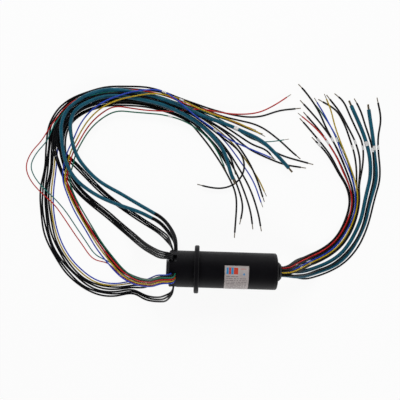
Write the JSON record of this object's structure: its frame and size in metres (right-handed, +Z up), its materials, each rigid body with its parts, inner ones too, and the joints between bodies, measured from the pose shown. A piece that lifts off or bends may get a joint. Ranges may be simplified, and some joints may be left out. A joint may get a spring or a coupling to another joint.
{
  "type": "slip ring",
  "caption": "Flanged capsule slip ring: a closed barrel with a turning hollow rotor, contact rings and brush wires inside, and long loose leads at both ends.",
  "frame": {"origin": "on the axis of rotation, in the face of the flange that looks towards the rotor end", "axes": "+X along the axis towards the rotor hub, +Z up, +Y towards the side where the leads lie"},
  "size_m": [0.3891, 0.2431, 0.0532],
  "materials": {
    "black_anodised": "satin black anodised",
    "grey_plate": "turned and clear anodised",
    "resin": "cast epoxy resin",
    "machined_aluminium": "as turned",
    "screw_steel": "zinc plated",
    "grub_steel": "plain steel",
    "bearing_steel": "ground",
    "ball_steel": "polished",
    "cage_brass": "stamped",
    "shaft_black": "satin black anodised",
    "insulator": "turned engineering plastic",
    "ring_gold": "gold plated",
    "clip_steel": "spring steel, oiled",
    "seal_rubber": "moulded",
    "board_green": "glass epoxy board",
    "wire_gold": "gold alloy spring wire",
    "label_film": "silver film",
    "sleeve_black": "shrink sleeve",
    "marker_white": "printed tube, blank",
    "bare_copper": "tinned copper strands",
    "jacket_teal": "extruded jacket",
    "lead_blue": "extruded insulation",
    "lead_yellow": "extruded insulation",
    "lead_red": "extruded insulation",
    "lead_green": "extruded insulation",
    "lead_black": "extruded insulation"
  },
  "bodies": {
    "stator": {"housing": "black_anodised", "front_cover": "black_anodised", "rear_cap": "black_anodised", "rear_centre_plate": "grey_plate", "rear_potting": "resin", "rear_bearing_plate": "machined_aluminium", "rear_plate_screws": "screw_steel", "set_screws": "grub_steel", "front_bearing_outer": "bearing_steel", "front_bearing_balls": "ball_steel", "front_bearing_cage": "cage_brass", "rear_bearing_outer": "bearing_steel", "rear_bearing_balls": "ball_steel", "rear_bearing_cage": "cage_brass", "shaft_seal": "seal_rubber", "terminal_board": "board_green", "lower_brush_block": "board_green", "upper_brush_block": "board_green", "lower_brush_wires": "wire_gold", "upper_brush_wires": "wire_gold", "label": "label_film", "cable_boots": "sleeve_black", "stator_markers": "marker_white", "stator_wire_ends": "bare_copper", "stator_cable_inner": "jacket_teal", "stator_cable_outer": "jacket_teal", "stator_blue": "lead_blue", "stator_yellow": "lead_yellow", "stator_red": "lead_red", "stator_green": "lead_green", "loop_blue": "lead_blue", "loop_yellow": "lead_yellow", "fine_red": "lead_red", "fine_green": "lead_green", "low_blacks": "lead_black", "loop_blacks": "lead_black", "ribbon_blacks": "lead_black", "middle_blacks": "lead_black", "upper_blacks": "lead_black"},
    "rotor": {"rotor_shaft": "shaft_black", "insulating_sleeve": "insulator", "contact_rings": "ring_gold", "ring_insulators": "insulator", "stack_spacer": "machined_aluminium", "shaft_circlip": "clip_steel", "front_bearing_inner": "bearing_steel", "rear_bearing_inner": "bearing_steel", "rotor_wire_plug": "resin", "rotor_markers": "marker_white", "rotor_wire_ends": "bare_copper", "rotor_cable_a": "jacket_teal", "rotor_cable_b": "jacket_teal", "rotor_yellow": "lead_yellow", "rotor_blue": "lead_blue", "rotor_green": "lead_green", "rotor_red": "lead_red", "rotor_blacks_a": "lead_black", "rotor_blacks_b": "lead_black", "rotor_blacks_c": "lead_black"}
  },
  "joints": [
    {"name": "rotor_spin", "type": "hinge", "parent": "stator", "child": "rotor", "pos_m": [0, 0, 0], "axis": [1, 0, 0], "continuous": true}
  ]
}
